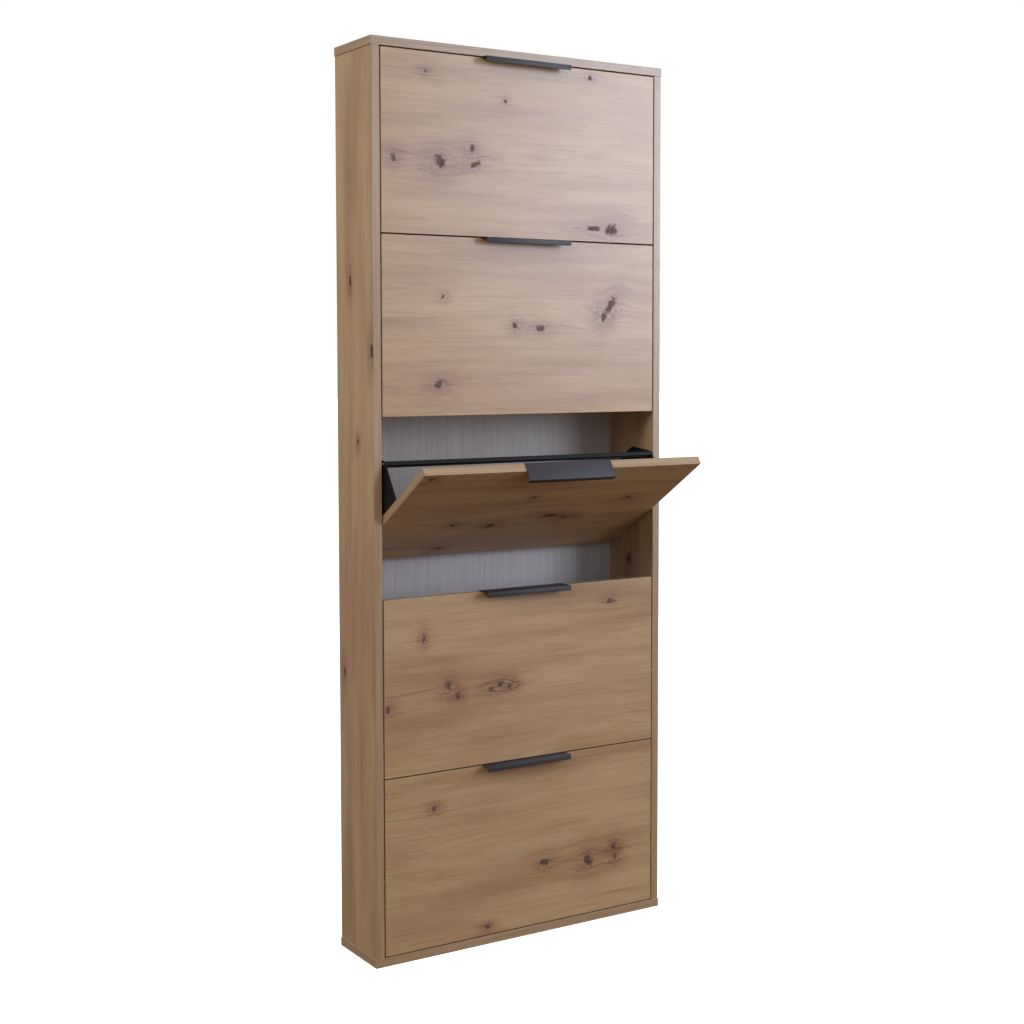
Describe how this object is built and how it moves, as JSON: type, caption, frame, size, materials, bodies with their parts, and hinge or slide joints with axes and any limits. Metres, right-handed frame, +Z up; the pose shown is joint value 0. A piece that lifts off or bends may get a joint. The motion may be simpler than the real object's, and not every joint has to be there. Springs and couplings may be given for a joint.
{
  "type": "shoe cabinet",
  "caption": "Tall shallow shoe cabinet with inset tip-out bins in knotty oak decor, dark metal edge pulls, one flap standing open.",
  "frame": {"origin": "on the floor, under the middle of the carcass's footprint", "axes": "+Z up, -Y towards the user (the fronts face -Y), +X to the right as the user faces the cabinet"},
  "size_m": [0.65, 0.3184, 1.7],
  "materials": {
    "oak_board": "knotty light oak decor paper on 16 mm chipboard, satin",
    "grey_back_board": "light grey linen-look decor on 3 mm hardboard, matt",
    "anthracite_metal": "anthracite powder coat, fine texture",
    "black_plastic": "black moulded plastic, matt",
    "black_board": "black-faced hardboard, matt",
    "zinc_steel": "bright zinc plate",
    "oak_plastic": "oak-coloured plastic cap",
    "white_nylon": "natural nylon",
    "beech": "fluted beech dowel, raw"
  },
  "bodies": {
    "cabinet": {"left_side": "oak_board", "right_side": "oak_board", "top_panel": "oak_board", "bottom_panel": "oak_board", "back_panel_left": "grey_back_board", "back_panel_right": "grey_back_board", "back_nails": "zinc_steel", "cam_housings": "zinc_steel", "cam_caps": "oak_plastic", "cam_bolts": "zinc_steel", "dowels": "beech", "pivot_bushes": "white_nylon", "stop_pegs": "zinc_steel", "wall_brackets": "zinc_steel", "bracket_screws": "zinc_steel"},
    "flap_1": {"flap_1_front": "oak_board", "flap_1_handle": "anthracite_metal", "flap_1_bin_side_left": "black_plastic", "flap_1_bin_side_right": "black_plastic", "flap_1_bin_floor": "black_board", "flap_1_rear_rail": "black_plastic", "flap_1_screws": "zinc_steel", "flap_1_pivot_pins": "zinc_steel"},
    "flap_2": {"flap_2_front": "oak_board", "flap_2_handle": "anthracite_metal", "flap_2_bin_side_left": "black_plastic", "flap_2_bin_side_right": "black_plastic", "flap_2_bin_floor": "black_board", "flap_2_rear_rail": "black_plastic", "flap_2_screws": "zinc_steel", "flap_2_pivot_pins": "zinc_steel"},
    "flap_3": {"flap_3_front": "oak_board", "flap_3_handle": "anthracite_metal", "flap_3_bin_side_left": "black_plastic", "flap_3_bin_side_right": "black_plastic", "flap_3_bin_floor": "black_board", "flap_3_rear_rail": "black_plastic", "flap_3_screws": "zinc_steel", "flap_3_pivot_pins": "zinc_steel"},
    "flap_4": {"flap_4_front": "oak_board", "flap_4_handle": "anthracite_metal", "flap_4_bin_side_left": "black_plastic", "flap_4_bin_side_right": "black_plastic", "flap_4_bin_floor": "black_board", "flap_4_rear_rail": "black_plastic", "flap_4_screws": "zinc_steel", "flap_4_pivot_pins": "zinc_steel"},
    "flap_5": {"flap_5_front": "oak_board", "flap_5_handle": "anthracite_metal", "flap_5_bin_side_left": "black_plastic", "flap_5_bin_side_right": "black_plastic", "flap_5_bin_floor": "black_board", "flap_5_rear_rail": "black_plastic", "flap_5_screws": "zinc_steel", "flap_5_pivot_pins": "zinc_steel"}
  },
  "joints": [
    {"name": "flap_1_tip", "type": "hinge", "parent": "cabinet", "child": "flap_1", "pos_m": [0, -0.067, 1.4909], "axis": [1, 0, 0], "range_deg": [0, 57.5]},
    {"name": "flap_2_tip", "type": "hinge", "parent": "cabinet", "child": "flap_2", "pos_m": [0, -0.067, 1.1578], "axis": [1, 0, 0], "range_deg": [0, 57.5]},
    {"name": "flap_3_tip", "type": "hinge", "parent": "cabinet", "child": "flap_3", "pos_m": [0, -0.067, 0.8247], "axis": [1, 0, 0], "range_deg": [-57.5, 0]},
    {"name": "flap_4_tip", "type": "hinge", "parent": "cabinet", "child": "flap_4", "pos_m": [0, -0.067, 0.4916], "axis": [1, 0, 0], "range_deg": [0, 57.5]},
    {"name": "flap_5_tip", "type": "hinge", "parent": "cabinet", "child": "flap_5", "pos_m": [0, -0.067, 0.1585], "axis": [1, 0, 0], "range_deg": [0, 57.5]}
  ]
}
